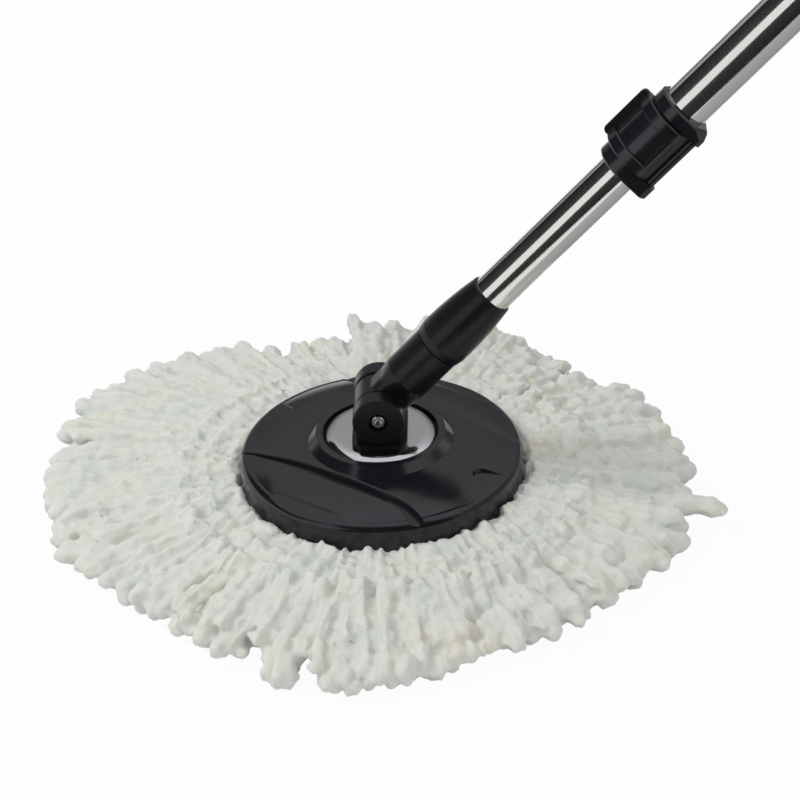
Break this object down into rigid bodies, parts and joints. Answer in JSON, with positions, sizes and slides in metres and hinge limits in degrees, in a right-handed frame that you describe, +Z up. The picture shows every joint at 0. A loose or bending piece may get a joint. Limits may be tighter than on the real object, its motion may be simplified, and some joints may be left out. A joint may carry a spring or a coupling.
{
  "type": "spin mop",
  "caption": "Hand-press spin mop: round hinged head with a thick ring of microfibre strands, and a polished handle whose twisted bar spins the head when it is pressed.",
  "frame": {"origin": "on the floor, under the middle of the head", "axes": "+Z up, +X the way the handle leans, +Y along the hinge bolt towards the back of the picture"},
  "size_m": [0.8301, 0.3717, 0.7418],
  "materials": {
    "gloss_black": "moulded gloss",
    "matte_black": "fine moulded grain",
    "drive_plastic": "plain acetal",
    "chrome": "bright plated",
    "polished_steel": "polished stainless",
    "plain_steel": "zinc plated",
    "soft_rubber": "soft moulded",
    "microfibre": "looped microfibre"
  },
  "bodies": {
    "head": {"head_plate": "gloss_black", "trim_dish": "chrome", "hinge_fork": "gloss_black", "fork_screws": "plain_steel", "pivot_bolt": "plain_steel", "pivot_nut": "plain_steel", "refill_ring": "matte_black", "strands_right": "microfibre", "strands_back": "microfibre", "strands_left": "microfibre", "strands_front": "microfibre"},
    "lower_handle": {"hinge_arm": "gloss_black", "socket_sleeve": "gloss_black", "lower_tube": "polished_steel", "clutch_seat": "drive_plastic", "drive_nut": "drive_plastic", "guide_cap": "matte_black"},
    "slide_bush": {"collar_bush": "matte_black"},
    "upper_handle": {"collar_body": "gloss_black", "lever_pin": "plain_steel", "upper_tube": "polished_steel", "twist_bar": "plain_steel", "bar_anchor": "matte_black", "anchor_pin": "plain_steel", "bar_stop": "drive_plastic", "bumper": "soft_rubber", "joint_insert": "matte_black", "top_tube": "polished_steel", "grip": "matte_black", "end_cap": "matte_black"},
    "flip_lever": {"lock_lever": "gloss_black"}
  },
  "joints": [
    {"name": "head_tilt", "type": "hinge", "parent": "head", "child": "lower_handle", "pos_m": [0, 0, 0.0717], "axis": [0, 1, 0], "range_deg": [-133.3, 46.7]},
    {"name": "stroke", "type": "slide", "parent": "lower_handle", "child": "slide_bush", "axis": [0.6858, 0, 0.7278], "range_m": [0, 0.2]},
    {"name": "head_spin", "type": "hinge", "parent": "slide_bush", "child": "upper_handle", "pos_m": [0, 0, 0.0717], "axis": [0.6858, 0, 0.7278], "range_deg": [0, 720]},
    {"name": "lock_lever", "type": "hinge", "parent": "upper_handle", "child": "flip_lever", "pos_m": [0.15595, -0.01387, 0.2214], "axis": [0.6858, 0, 0.7278], "range_deg": [0, 110]}
  ],
  "couplings": [
    {"joint": "head_spin", "follows": "stroke", "rad_per_m": 62.832}
  ]
}
